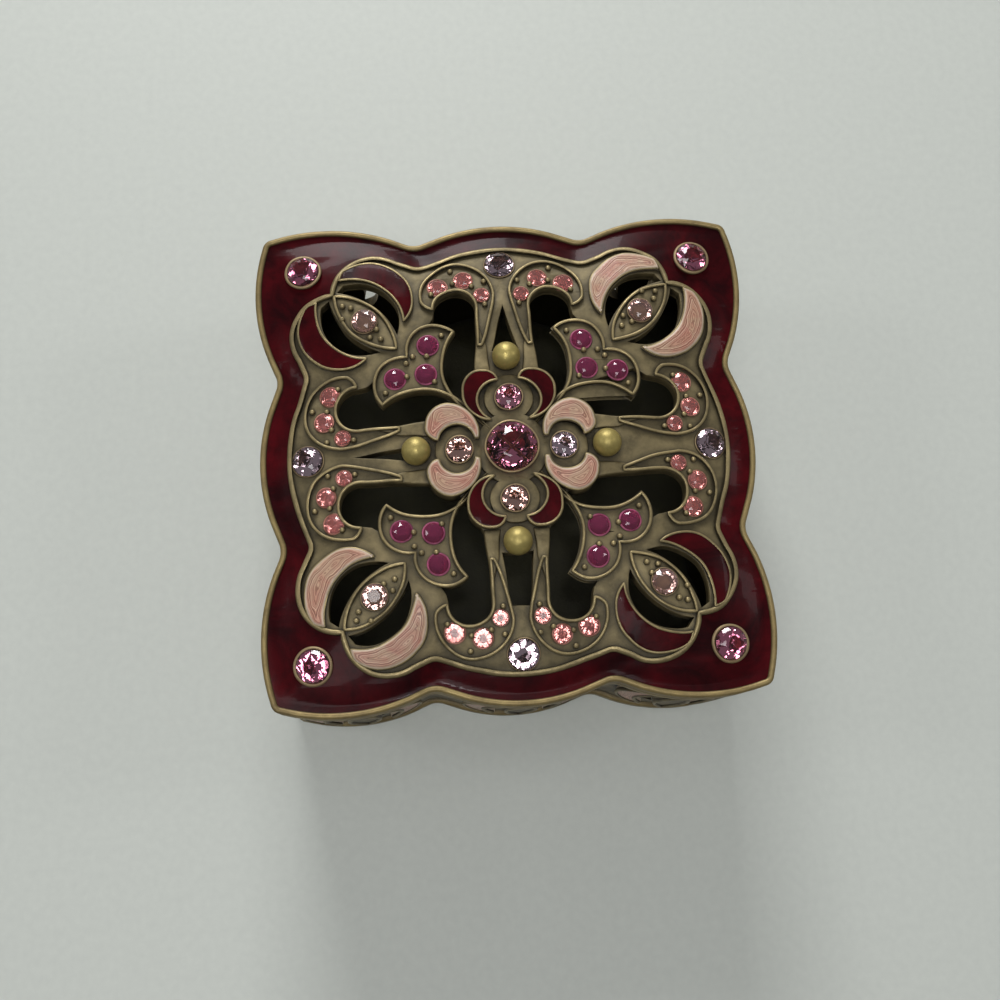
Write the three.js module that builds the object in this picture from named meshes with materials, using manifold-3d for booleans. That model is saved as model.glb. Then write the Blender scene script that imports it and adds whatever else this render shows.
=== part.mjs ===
import * as THREE from 'three';
import { mergeVertices } from 'three/addons/utils/BufferGeometryUtils.js';
import Module from 'manifold-3d';

const wasm = await Module();
wasm.setup();

// Square trinket box of cast brass with an openwork, enamelled and jewelled lid that lifts off.
// Millimetres, +Z up, the front is -Y. The origin is at the middle of the underside.

// Overall sizes
const lidWidth = 60;
const bodyHeight = 24;
const domeRise = 3;

// Body
const wallInset = 0.9;
const wallThickness = 1.5;
const floorThickness = 1.6;
const bandHeight = 2;
const footHeight = 2.2;
const footInset = 0.3;
const reliefHeight = 0.8;

// Lid
const seatGap = 0.1;
const rimHeight = 2.1;
const rimWidth = 0.75;
const plateHeight = 1.9;
const wireWidth = 0.5;
const wireHeight = 0.5;
const flowerHeight = 0.8;
const lipDepth = 0.8;
const lipWidth = 0.9;
const lipClearance = 0.3;
const lipChamfer = 3.5;
const ballDiameter = 3.4;

// Enamel in its cells
const enamelDepth = 0.8;
const enamelDrop = 0.3;
const enamelGap = 0.2;

// Cut stones, by diameter
const centreStone = 5.9;
const ringStone = 3.05;
const cornerStone = 3.8;
const edgeStone = 3.6;
const leafStone = 3;
const commaStones = [2, 2.4, 2.5];
const fishtailStone = 2.6;
const studHeight = 0.9;
const bezelWidth = 0.35;
const bezelHeight = 0.45;
const stoneGap = 0.1;

// How deep joined parts reach into each other, and how far a cut runs past the surface it opens
const bite = 0.5;
const cutPast = 1;

// The ornament is drawn on a square 60 wide, and takes its size from the lid
const drawingWidth = 60;
const unit = lidWidth / drawingWidth;
const sides = ['back', 'left', 'front', 'right'];
const corners = ['back_right', 'back_left', 'front_left', 'front_right'];

const brass = { color: 0x8f8261, roughness: 0.5, metalness: 0.8 };
const burgundy = { color: 0x3f0710, roughness: 0.12, metalness: 0 };
const cream = { color: 0xcda08c, roughness: 0.2, metalness: 0 };
const rosePink = { color: 0xd8457e, roughness: 0.03, metalness: 0 };
const palePink = { color: 0xe6bcc6, roughness: 0.03, metalness: 0 };

// Points on the arc from a to b, without a. A bulge of 1 is a half circle to the right of the way
// from a to b, and 0 is a straight line.
function arcPoints(a, b, bulge, steps) {
  if (!bulge) return [b];
  const along = (1 - bulge * bulge) / (4 * bulge);
  const cx = (a[0] + b[0]) / 2 - (b[1] - a[1]) * along;
  const cy = (a[1] + b[1]) / 2 + (b[0] - a[0]) * along;
  const sweep = 4 * Math.atan(bulge);
  const points = [];
  for (let i = 1; i <= steps; i += 1) {
    const angle = (sweep * i) / steps;
    const dx = a[0] - cx;
    const dy = a[1] - cy;
    points.push([
      cx + dx * Math.cos(angle) - dy * Math.sin(angle),
      cy + dx * Math.sin(angle) + dy * Math.cos(angle),
    ]);
  }
  return points;
}

// A closed outline from corners, each with the bulge and steps of the stretch that leaves it
function trace(outlineCorners) {
  return outlineCorners.flatMap(([x, y, bulge, steps], i) => {
    const next = outlineCorners[(i + 1) % outlineCorners.length];
    return arcPoints([x, y], [next[0], next[1]], bulge, steps);
  });
}

const quarterTurn = ([x, y]) => [-y, x];
const mirror = (points) => points.map(([x, y]) => [-x, y]).reverse();
const acrossDiagonal = (points) => points.map(([x, y]) => [y, x]).reverse();
const scaled = (points, sx, sy = sx) => points.map(([x, y]) => [x * sx, y * sy]);
const moved = (points, dx, dy) => points.map(([x, y]) => [x + dx, y + dy]);

function turned(points, quarters) {
  let result = points;
  for (let i = 0; i < quarters; i += 1) result = result.map(quarterTurn);
  return result;
}

// A border that repeats on the four sides, from the corners of its back side
function fourSides(sideCorners) {
  const all = [];
  for (let i = 0; i < sides.length; i += 1) {
    for (const [x, y, bulge, steps] of sideCorners) {
      const [tx, ty] = turned([[x, y]], i)[0];
      all.push([tx, ty, bulge, steps]);
    }
  }
  return scaled(trace(all), unit);
}

// Where the edges before and after a corner meet, once both are moved inwards by a distance
function mitre(before, after, distance) {
  const turn = before.dir.cross(after.dir);
  const corner = after.start.clone().addScaledVector(after.normal, distance);
  if (Math.abs(turn) < 1e-4) return corner;
  const from = before.start.clone().addScaledVector(before.normal, distance).sub(corner);
  return corner.addScaledVector(after.dir, before.dir.cross(from) / turn);
}

// The outline moved inwards by a distance. An edge that would turn round on the way is dropped.
function inset(points, distance) {
  const edges = points.map(([x, y], i) => {
    const [nextX, nextY] = points[(i + 1) % points.length];
    const dir = new THREE.Vector2(nextX - x, nextY - y).normalize();
    return { start: new THREE.Vector2(x, y), dir, normal: new THREE.Vector2(-dir.y, dir.x) };
  });
  for (;;) {
    const count = edges.length;
    const met = edges.map((edge, i) => mitre(edges[(i + count - 1) % count], edge, distance));
    const turnedRound = edges.findIndex((edge, i) => (
      met[(i + 1) % count].clone().sub(met[i]).dot(edge.dir) <= 0
    ));
    if (turnedRound < 0 || count < 4) return met.map(({ x, y }) => [x, y]);
    edges.splice(turnedRound, 1);
  }
}

const circle = (x, y, radius, steps) => (
  trace([[x + radius, y, 1, steps / 2], [x - radius, y, 1, steps / 2]])
);

function toSolid(geometry) {
  geometry.deleteAttribute('normal');
  geometry.deleteAttribute('uv');
  const merged = mergeVertices(geometry, 1e-4);
  return new wasm.Manifold(new wasm.Mesh({
    numProp: 3,
    vertProperties: new Float32Array(merged.attributes.position.array),
    triVerts: new Uint32Array(merged.index.array),
  }));
}

function prism(points, bottom, top, hole) {
  const shape = new THREE.Shape(points.map(([x, y]) => new THREE.Vector2(x, y)));
  if (hole) shape.holes.push(new THREE.Path(hole.map(([x, y]) => new THREE.Vector2(x, y))));
  const geometry = new THREE.ExtrudeGeometry(shape, { depth: top - bottom, bevelEnabled: false });
  geometry.translate(0, 0, bottom);
  return toSolid(geometry);
}

const wire = (points, bottom, top) => prism(points, bottom, top, inset(points, wireWidth));
const joined = (solids) => solids.reduce((sum, solid) => sum.add(solid));
const cut = (solid, tools) => tools.reduce((rest, tool) => rest.subtract(tool), solid);

// The lid's outer edge, and the wavy wire between the border and the inner field
const cuspReach = 27.7;
const middleLobe = [
  [13, 28.7, 0, 1], [10.3, cuspReach, 0, 1], [7, 28.85, 0.164, 3], [-7, 28.85, 0, 1],
  [-10.3, cuspReach, 0, 1], [-13, 28.7, 0.172, 3],
];
const lidOutline = fourSides([[28.1, 29.25, 0.172, 3], ...middleLobe, [-28.1, 29.25, 0, 1]]);
const fieldOutline = fourSides([
  [20.9, 20.9, 0.57, 4], [12.6, 25.2, 0, 1], [10.3, 24.35, 0.25, 4], [-10.3, 24.35, 0, 1],
  [-12.6, 25.2, 0.57, 4],
]);

// Comma on the right of the back side, and the void inside its hook
const comma = scaled(trace([
  [3.5, 12.8, 0, 1], [3.3, 18, -1.02, 3], [8.4, 17.9, 1.25, 5], [0.85, 20, 0, 1], [2.3, 12.8, 0, 1],
]), unit);
const commaVoid = scaled(trace([
  [8.4, 17.9, 1.02, 3], [3.3, 18, 0, 1], [3.5, 12.8, 0, 1], [4.1, 10.2, 0, 1],
  [6, 7.9, 0, 1], [8.6, 8.8, 0, 1], [9.5, 15.5, 0, 1], [8.6, 16.9, 0, 1],
]), unit);
const commaStonePlaces = scaled([[2.45, 19.9], [4.6, 22.1], [7.8, 21.3]], unit);

// Fishtail on the back right diagonal
const fishtail = scaled(trace([
  [6.3, 6.3, -0.41, 2], [15, 5.9, 0.72, 3], [12.1, 12.1, 0.72, 3], [5.9, 15, -0.41, 2],
]), unit);
const fishtailStonePlaces = scaled([[9.7, 9.7], [9.3, 13.4], [13.4, 9.3]], unit);

// Tulip, upright about its own middle: a leaf, and on each side a petal and the void beside it
const leafLength = 10.7;
const tulipLeaf = trace([[0, -leafLength / 2, 0.42, 3], [0, leafLength / 2, 0.42, 3]]);
const tulipPetal = trace([[3, -3.5, 1.12, 4], [2.05, 5.9, -0.46, 2]]);
const tulipVoid = trace([[1.84, -3.4, 0.58, 3], [1.77, 5.05, -0.18, 1]]);
const tulipDistance = 23.7;
const onDiagonal = (points) => points.map(([u, v]) => {
  const along = v + tulipDistance;
  return [((u + along) * unit) / Math.SQRT2, ((along - u) * unit) / Math.SQRT2];
});

// Centre flower, a layer on the plate: two crescent petals and a stone on each side
const flowerCore = circle(0, 0, 4.6 * unit, 8);
const collarDistance = 6.2 * unit;
const collar = circle(0, collarDistance, 2.9 * unit, 8);
const crescent = scaled(trace([[1.9, 3.9, 1.2, 4], [2.2, 9.8, -0.42, 2]]), unit);
const ballDistance = 11.3 * unit;
const edgeDistance = 24.2 * unit;
const cornerDistance = 24.2 * unit;

// Voids in the arms between two commas; the right one is closed
const armVoids = {
  back: scaled([[0, 18.4], [-1.6, 12.4], [1.6, 12.4]], unit),
  left: scaled([[0, 18.4], [-0.8, 12.4], [0.8, 12.4]], unit),
  front: scaled([[1.2, 18.6], [-1.2, 18.6], [-1.8, 12.4], [1.8, 12.4]], unit),
};

// How far the lid's outer edge is from the middle, in the direction of a point
function edgeRadius(x, y) {
  for (let i = 0; i < lidOutline.length; i += 1) {
    const [ax, ay] = lidOutline[i];
    const [bx, by] = lidOutline[(i + 1) % lidOutline.length];
    const det = x * (by - ay) - y * (bx - ax);
    const reach = (ax * by - ay * bx) / det;
    const share = (ax * y - ay * x) / det;
    if (reach > 0 && share >= -1e-6 && share <= 1 + 1e-6) return reach * Math.hypot(x, y);
  }
  return lidWidth / 2;
}

// The lid rises from a flat seat along its edge to the dome's full height at the middle
const seatShare = 0.95;
const domePower = 3.5;
function domeHeight(x, y) {
  const share = Math.hypot(x, y) / edgeRadius(x, y) / seatShare;
  return domeRise * Math.max(0, 1 - share ** domePower);
}

function toGeometry(solid, shift) {
  const mesh = solid.getMesh();
  const geometry = new THREE.BufferGeometry();
  const position = new THREE.BufferAttribute(new Float32Array(mesh.vertProperties), 3);
  geometry.setAttribute('position', position);
  geometry.setIndex(new THREE.BufferAttribute(new Uint32Array(mesh.triVerts), 1));
  for (let i = 0; i < position.count; i += 1) {
    const x = position.getX(i);
    const y = position.getY(i);
    position.setZ(i, position.getZ(i) + shift(x, y));
  }
  return geometry;
}

const box = new THREE.Group();
function addPiece(name, solid, finish, shift = () => 0) {
  const geometry = toGeometry(solid, shift);
  geometry.computeVertexNormals();
  const mesh = new THREE.Mesh(geometry, new THREE.MeshStandardMaterial(finish));
  mesh.name = name;
  box.add(mesh);
}

const lidBottom = bodyHeight + seatGap;
const onLid = (x, y) => lidBottom + domeHeight(x, y);

// Body: hollow, with a band under the lid, a foot and a tulip on each of the twelve lobes
const bodyWall = inset(lidOutline, wallInset);
const bodyInside = inset(lidOutline, wallInset + wallThickness);

function wallDistance(x) {
  for (let i = 0; i < bodyWall.length; i += 1) {
    const [ax, ay] = bodyWall[i];
    const [bx, by] = bodyWall[(i + 1) % bodyWall.length];
    const high = Math.min(ay, by) > lidWidth / 4;
    if (high && x <= ax && x >= bx && ax > bx) return ay + ((by - ay) * (ax - x)) / (ax - bx);
  }
  return lidWidth / 2 - wallInset;
}

// A relief drawn upright, set on the back wall from one depth to another and turned to its side
function onWall(points, from, to, quarters) {
  const shape = new THREE.Shape(points.map(([x, y]) => new THREE.Vector2(-x, y)));
  const geometry = new THREE.ExtrudeGeometry(shape, { depth: to - from, bevelEnabled: false });
  const position = geometry.attributes.position;
  for (let i = 0; i < position.count; i += 1) {
    const x = -position.getX(i);
    const z = position.getY(i);
    const depth = position.getZ(i) + from;
    const [tx, ty] = turned([[x, wallDistance(x) + depth]], quarters)[0];
    position.setXYZ(i, tx, ty, z);
  }
  return toSolid(geometry);
}

const fieldMiddle = (footHeight + bodyHeight - bandHeight) / 2;
const fieldHeight = bodyHeight - bandHeight - footHeight;
const fieldMargin = 0.8;
const tulipLength = 12.4;
const tulipWidthShare = 0.95 * unit;
const tulipHeightShare = (fieldHeight - 2 * fieldMargin) / tulipLength;
const cornerLobe = 19.5 * unit;

function wallTulip(middle, quarters) {
  const place = (points) => moved(
    scaled(points, tulipWidthShare, tulipHeightShare), middle, fieldMiddle);
  const root = -wallThickness / 2;
  const raised = [
    onWall(place(tulipLeaf), root, reliefHeight, quarters),
    onWall(place(tulipPetal), root, reliefHeight, quarters),
    onWall(place(mirror(tulipPetal)), root, reliefHeight, quarters),
  ];
  const pierced = [
    onWall(place(tulipVoid), -wallThickness - cutPast, reliefHeight, quarters),
    onWall(place(mirror(tulipVoid)), -wallThickness - cutPast, reliefHeight, quarters),
  ];
  return { raised, pierced };
}

let body = joined([
  prism(bodyWall, 0, bodyHeight),
  prism(lidOutline, bodyHeight - bandHeight, bodyHeight),
  prism(inset(lidOutline, footInset), 0, footHeight),
]);
body = cut(body, [prism(bodyInside, floorThickness, bodyHeight + cutPast)]);
const wallTulips = sides.flatMap((side, i) => (
  [-cornerLobe, 0, cornerLobe].map((middle) => wallTulip(middle, i))
));
body = cut(body, wallTulips.flatMap((tulip) => tulip.pierced));
body = joined([body, ...wallTulips.flatMap((tulip) => tulip.raised)]);
addPiece('box_body', body, brass);

// Lid plate with its rim, the recess of the border, the lip that locates it and the voids
const plateTop = plateHeight;
const wireTop = plateTop + wireHeight;
const flowerTop = plateTop + flowerHeight;
const flowerWireTop = flowerTop + wireHeight;
const borderTop = rimHeight - enamelDrop;
const borderFloor = borderTop - enamelDepth;
const rimInside = inset(lidOutline, rimWidth);

// A plain square lip under the plate locates the lid inside the eight cusps of the body. The
// dome lifts its corners, so it is drawn that much deeper.
const lipReach = cuspReach * unit - wallInset - wallThickness - lipClearance;
const lipCorner = lipReach - lipChamfer;
const lipOutline = sides.flatMap((side, i) => (
  turned([[lipCorner, lipReach], [-lipCorner, lipReach]], i)
));
const lipBottom = -lipDepth - domeHeight(lipCorner, lipReach);

let lid = joined([
  prism(lidOutline, 0, plateTop),
  prism(lidOutline, plateTop - bite, rimHeight, rimInside),
  prism(lipOutline, lipBottom, bite, inset(lipOutline, lipWidth)),
]);
lid = cut(lid, [prism(rimInside, borderFloor, rimHeight + cutPast, fieldOutline)]);

const petal = onDiagonal(tulipPetal);
const petals = [petal, acrossDiagonal(petal)];
const crescentVoid = onDiagonal(tulipVoid);
const leaf = onDiagonal(tulipLeaf);
const copies = (points) => sides.map((side, i) => turned(points, i));
const commas = [...copies(comma), ...copies(mirror(comma))];
const voids = [
  ...copies(commaVoid), ...copies(mirror(commaVoid)),
  ...copies(crescentVoid), ...copies(acrossDiagonal(crescentVoid)),
  ...Object.entries(armVoids).map(([side, points]) => turned(points, sides.indexOf(side))),
];
lid = cut(lid, voids.map((points) => prism(points, -cutPast, wireTop + cutPast)));

// Raised wires and leaves, and the fishtails, which reach into the voids
lid = joined([
  lid,
  wire(fieldOutline, plateTop - bite, wireTop),
  ...commas.map((points) => wire(points, plateTop - bite, wireTop)),
  ...copies(leaf).map((points) => prism(points, plateTop - bite, wireTop)),
  ...copies(fishtail).map((points) => prism(points, 0, plateTop)),
  ...copies(fishtail).map((points) => wire(points, plateTop - bite, wireTop)),
]);

// Tulip petals stand up as cells with an enamel floor
const petalCells = petals.flatMap((points) => copies(points));
lid = joined([lid, ...petalCells.map((points) => prism(points, 0, wireTop))]);
const petalFloor = wireTop - enamelDrop - enamelDepth;
lid = cut(lid, petalCells.map((points) => (
  prism(inset(points, wireWidth), petalFloor, wireTop + cutPast)
)));

// Centre flower with its eight crescent cells
const crescents = [...copies(crescent), ...copies(mirror(crescent))];
lid = joined([
  lid,
  ...[flowerCore, ...copies(collar)].map((points) => prism(points, 0, flowerTop)),
  ...crescents.map((points) => prism(points, 0, flowerWireTop)),
]);
const crescentFloor = flowerWireTop - enamelDrop - enamelDepth;
lid = cut(lid, crescents.map((points) => (
  prism(inset(points, wireWidth), crescentFloor, flowerWireTop + cutPast)
)));

// Brass balls at the tips of the flower, sunk a little into the plate
const ballLift = 0.3;
function ball(x, y) {
  const geometry = new THREE.SphereGeometry(ballDiameter / 2, 6, 4);
  geometry.rotateX(Math.PI / 2);
  geometry.translate(x, y, plateTop + ballDiameter * ballLift);
  return toSolid(geometry);
}
lid = joined([lid, ...copies([[0, ballDistance]]).map(([[x, y]]) => ball(x, y))]);

// A cut stone with its girdle at z = 0, and the low stud that stands for a small one
const stoneSides = 6;
const pavilionShare = 0.5;
const crownShare = 0.35;
const tableShare = 0.6;
function cutStone(diameter) {
  const radius = diameter / 2;
  const profile = [[0, -pavilionShare], [1, 0], [tableShare, crownShare], [0, crownShare]];
  const points = profile.map(([r, z]) => new THREE.Vector2(r * radius, z * radius));
  const geometry = new THREE.LatheGeometry(points, stoneSides);
  geometry.rotateX(Math.PI / 2);
  return geometry;
}
function smallStone(diameter, x, y) {
  const geometry = new THREE.ConeGeometry(diameter / 2, studHeight + bite, 4);
  geometry.rotateX(Math.PI / 2);
  geometry.translate(x, y, plateTop + (studHeight - bite) / 2);
  return toSolid(geometry);
}
const smallStones = [
  ...commaStonePlaces.flatMap(([x, y], i) => [
    ...copies([[x, y]]), ...copies([[-x, y]]),
  ].map(([[px, py]]) => smallStone(commaStones[i], px, py))),
  ...fishtailStonePlaces.flatMap((place) => (
    copies([place]).map(([[px, py]]) => smallStone(fishtailStone, px, py))
  )),
];
lid = joined([lid, ...smallStones]);

// Stones that are pieces of their own: a bezel on the lid, a cup in it and the stone in the cup
const stones = [];
function setStone(name, diameter, place, ground, finish, hasBezel) {
  const [x, y] = place;
  const radius = diameter / 2;
  const girdle = ground + stoneGap + (hasBezel ? bezelHeight : 0);
  const floor = girdle - pavilionShare * radius - stoneGap;
  const hole = circle(x, y, radius + 2 * stoneGap, stoneSides);
  const outside = circle(x, y, radius + 2 * stoneGap + bezelWidth, stoneSides);
  if (hasBezel) lid = joined([lid, prism(outside, borderFloor / 2, ground + bezelHeight)]);
  lid = cut(lid, [prism(hole, floor, flowerWireTop + cutPast)]);
  const geometry = cutStone(diameter);
  geometry.translate(x, y, girdle);
  stones.push([name, toSolid(geometry), finish]);
}
const diagonalStone = (distance) => [distance * unit, distance * unit];
setStone('crystal_centre', centreStone, [0, 0], flowerTop, rosePink, true);
sides.forEach((side, i) => {
  const [ring] = turned([[0, collarDistance]], i);
  const [edge] = turned([[0, edgeDistance]], i);
  setStone(`crystal_ring_${side}`, ringStone, ring, flowerTop, palePink);
  setStone(`crystal_edge_${side}`, edgeStone, edge, plateTop, palePink);
});
corners.forEach((corner, i) => {
  const [inLeaf] = turned([diagonalStone(16.8)], i);
  const [inCorner] = turned([[cornerDistance, cornerDistance]], i);
  setStone(`crystal_leaf_${corner}`, leafStone, inLeaf, wireTop, palePink);
  setStone(`crystal_corner_${corner}`, cornerStone, inCorner, borderTop, rosePink, true);
});
addPiece('lid', lid, brass, onLid);
stones.forEach(([name, solid, finish]) => addPiece(name, solid, finish, onLid));

// Border enamel, open round the four corner bezels
let border = prism(inset(rimInside, enamelGap), borderFloor + enamelGap, borderTop,
  inset(fieldOutline, -enamelGap));
const collarRadius = cornerStone / 2 + 2 * stoneGap + bezelWidth + enamelGap;
border = cut(border, copies([[cornerDistance, cornerDistance]]).map(([[x, y]]) => (
  prism(circle(x, y, collarRadius, stoneSides), 0, rimHeight + cutPast)
)));
addPiece('border_enamel', border, burgundy, onLid);

// Petal and crescent enamel. Petals are burgundy at back left and front right, cream at the others
corners.forEach((corner, i) => {
  const finish = i % 2 ? burgundy : cream;
  petals.forEach((points, j) => {
    const cell = inset(turned(points, i), wireWidth + enamelGap);
    const solid = prism(cell, petalFloor + enamelGap, wireTop - enamelDrop);
    addPiece(`petal_enamel_${corner}_${j + 1}`, solid, finish, onLid);
  });
});
sides.forEach((side, i) => {
  const finish = i % 2 ? cream : burgundy;
  [crescent, mirror(crescent)].forEach((points, j) => {
    const cell = inset(turned(points, i), wireWidth + enamelGap);
    const solid = prism(cell, crescentFloor + enamelGap, flowerWireTop - enamelDrop);
    addPiece(`flower_enamel_${side}_${j + 1}`, solid, finish, onLid);
  });
});

export default box;
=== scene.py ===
# Filigree trinket box of antiqued cast brass, with enamel and cut stones on its lid
import math
import random

import bmesh
import bpy
import numpy as np
from mathutils import Matrix, Vector


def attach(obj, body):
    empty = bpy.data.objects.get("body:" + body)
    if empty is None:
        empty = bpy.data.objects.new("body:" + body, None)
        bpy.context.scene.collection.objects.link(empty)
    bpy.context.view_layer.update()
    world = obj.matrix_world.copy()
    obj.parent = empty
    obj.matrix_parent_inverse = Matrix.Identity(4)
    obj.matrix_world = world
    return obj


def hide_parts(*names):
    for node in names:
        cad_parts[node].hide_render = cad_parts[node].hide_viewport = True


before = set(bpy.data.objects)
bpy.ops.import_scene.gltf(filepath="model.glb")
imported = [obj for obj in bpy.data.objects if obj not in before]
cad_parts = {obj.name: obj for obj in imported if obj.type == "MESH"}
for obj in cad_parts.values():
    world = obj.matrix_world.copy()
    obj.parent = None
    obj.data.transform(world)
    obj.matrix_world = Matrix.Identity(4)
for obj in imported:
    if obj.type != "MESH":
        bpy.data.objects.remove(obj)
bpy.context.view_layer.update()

millimetre = 0.001
sideNames = ["back", "left", "front", "right"]
cornerNames = ["back_right", "back_left", "front_left", "front_right"]

# Camera at the photograph's angle
cameraSetup = {
    "lens": 43.2,
    "place": (-9.717, -37.663, 165.8),
    "right": (0.99720, -0.06032, 0.04417),
    "up": (0.04879, 0.97272, 0.22679),
}


def addCamera():
    data = bpy.data.cameras.new("camera")
    data.lens = cameraSetup["lens"]
    data.sensor_width = 36
    data.clip_start = 0.01
    camera = bpy.data.objects.new("camera", data)
    bpy.context.collection.objects.link(camera)
    right, up = Vector(cameraSetup["right"]).normalized(), Vector(cameraSetup["up"])
    back = right.cross(up).normalized()
    up = back.cross(right)
    turn = Matrix((right, up, back)).transposed().to_4x4()
    camera.matrix_world = Matrix.Translation(Vector(cameraSetup["place"]) * millimetre) @ turn
    bpy.context.scene.camera = camera


addCamera()
print("camera placed")


# Outlines, drawn in millimetres. A corner is x, y and the bulge of the stretch that leaves it
def arcPoints(start, end, bulge, spacing):
    start, end = np.array(start), np.array(end)
    chord = np.linalg.norm(end - start)
    if abs(bulge) < 1e-6:
        steps = max(1, math.ceil(chord / (spacing * 1.6)))
        return [tuple(start + (end - start) * i / steps) for i in range(1, steps + 1)]
    along = (1 - bulge * bulge) / (4 * bulge)
    middle = (start + end) / 2 + along * np.array([-(end - start)[1], (end - start)[0]])
    sweep = 4 * math.atan(bulge)
    radius = np.linalg.norm(start - middle)
    steps = max(3, math.ceil(abs(sweep) * radius / spacing), math.ceil(abs(sweep) / 0.22))
    points = []
    for i in range(1, steps + 1):
        turn = sweep * i / steps
        dx, dy = start - middle
        points.append((middle[0] + dx * math.cos(turn) - dy * math.sin(turn),
                       middle[1] + dx * math.sin(turn) + dy * math.cos(turn)))
    return points


def trace(corners, spacing=0.5):
    points = []
    for i, (x, y, bulge) in enumerate(corners):
        after = corners[(i + 1) % len(corners)]
        points += arcPoints((x, y), after[:2], bulge, spacing)
    return points


def turned(points, quarters):
    for _ in range(quarters):
        points = [(-y, x, *rest) for x, y, *rest in points]
    return points


def mirrored(points):
    return [(-x, y) for x, y in reversed(points)]


def acrossDiagonal(points):
    return [(y, x) for x, y in reversed(points)]


def copies(points):
    return [turned(points, i) for i in range(4)]


def fourSides(corners, spacing=0.5):
    return trace([corner for i in range(4) for corner in turned(corners, i)], spacing)


def inset(points, distance):
    # Moves an outline inwards, and drops each edge that would turn round on the way
    starts = np.array(points, float)
    dirs = np.roll(starts, -1, 0) - starts
    dirs /= np.linalg.norm(dirs, axis=1)[:, None]
    edges = list(zip(starts, dirs))
    while True:
        count = len(edges)
        met = []
        for i in range(count):
            (a, da), (b, db) = edges[i - 1], edges[i]
            b = b + distance * np.array([-db[1], db[0]])
            turn = da[0] * db[1] - da[1] * db[0]
            if abs(turn) > 1e-4:
                fromB = a + distance * np.array([-da[1], da[0]]) - b
                b = b + db * ((da[0] * fromB[1] - da[1] * fromB[0]) / turn)
            met.append(b)
        bad = [i for i in range(count)
               if np.dot(met[(i + 1) % count] - met[i], edges[i][1]) <= 0]
        if not bad or count < 5:
            return [tuple(point) for point in met]
        del edges[bad[0]]


def circle(x, y, radius, steps=32):
    return [(x + radius * math.cos(2 * math.pi * i / steps),
             y + radius * math.sin(2 * math.pi * i / steps)) for i in range(steps)]


lidSizes = {
    "bottom": 24.1,
    "rimTop": 2.1,
    "rimWidth": 0.75,
    "plateTop": 1.9,
    "wireTop": 2.42,
    "flowerWireTop": 3.2,
    "borderTop": 1.78,
    "borderFloor": 0.95,
    "domeRise": 3.0,
    "lipReach": 25.0,
    "lipChamfer": 3.5,
    "lipDepth": 0.8,
    "lipThickness": 0.9,
    "skinTop": 0.45,
    "upperBottom": 0.4,
    "plateEdge": 0.12,
    "fineEdge": 0.02,
    "rimEdge": 0.3,
    "tailHole": 1.18,
    "plateCut": 2.0,
    "webCut": 1.5,
    "seatShare": 0.95,
    "wanderReach": 26.5,
    "domePower": 3.5,
}
lidOutline = fourSides([
    (28.1, 29.25, 0.165), (13.2, 28.72, 0), (11.5, 28.0, -0.22), (9.3, 28.0, 0), (7, 28.85, 0.164),
    (-7, 28.85, 0), (-9.3, 28.0, -0.22), (-11.5, 28.0, 0), (-13.2, 28.72, 0.165),
    (-28.1, 29.25, 0.34),
])
fieldOutline = fourSides([
    (20.9, 20.9, 0.57), (12.6, 25.2, 0), (10.9, 24.5, -0.2), (9.7, 24.5, 0), (7, 25.4, 0.179),
    (-7, 25.4, 0), (-9.7, 24.5, -0.2), (-10.9, 24.5, 0), (-12.6, 25.2, 0.57),
])
rimInside = inset(lidOutline, lidSizes["rimWidth"])
comma = trace([(3.45, 13, 0), (3.3, 18, -1.02), (8.4, 17.9, 0.25), (10, 19, 1.1), (0.85, 20, 0.07),
               (2.75, 13, 0)], 0.4)
armBar = trace([(1.9, 9.6, 0), (3.9, 9.6, 0), (3.55, 13, 0), (3.4, 15.6, 0), (3.0, 15.6, 0),
                (2.2, 13, 0)], 0.6)
commaVoid = trace([(8.4, 17.9, 1.02), (3.3, 18, 0), (3.5, 12.8, 0), (3.6, 10.2, 0), (4.4, 9, 0),
                   (4.9, 7.2, 0), (5.6, 6.2, 0), (7.2, 6.9, 0), (9.5, 15.5, 0),
                   (8.6, 16.9, 0)], 0.4)
fishtail = trace([(5.4, 5.4, -0.41), (15, 5.9, 0.72), (12.1, 12.1, 0.72), (5.9, 15, -0.41)], 0.4)
tulipLeaf = trace([(0, -5.35, 0.42), (0, 5.35, 0.42)], 0.4)
tulipPetal = trace([(3, -3.5, 0.417), (7.75, 1.3, 0.4), (3.2, 7.0, 0.1), (1.75, 6.3, -0.47)], 0.4)
tulipVoid = trace([(1.55, -3.9, 0.6), (1.95, 5.5, 0), (0.75, 5.3, -0.26)], 0.4)
burgundyCrescent = trace([(1.6, 3.35, 0.48), (5.6, 6.9, 0.47), (2.9, 9.65, 0.42),
                          (1.15, 8.25, -0.93)], 0.3)
creamCrescent = trace([(1.2, 3.8, 0.44), (5.7, 7.4, 0.39), (3.1, 10.05, 0.5), (1.15, 8.6, -0.86),
                       (1.1, 4.4, 0)], 0.3)
armVoids = [
    trace([(0, 18.4, 0), (-1.6, 12.4, 0), (1.6, 12.4, 0)], 0.6),
    turned(trace([(0, 18.4, 0), (-0.8, 12.4, 0), (0.8, 12.4, 0)], 0.6), 1),
    turned(trace([(1.2, 18.6, 0), (-1.2, 18.6, 0), (-1.8, 12.4, 0), (1.8, 12.4, 0)], 0.6), 2),
]


def onDiagonal(points):
    along = [(u, v + 23.7) for u, v in points]
    return [((u + v) / math.sqrt(2), (v - u) / math.sqrt(2)) for u, v in along]


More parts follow.
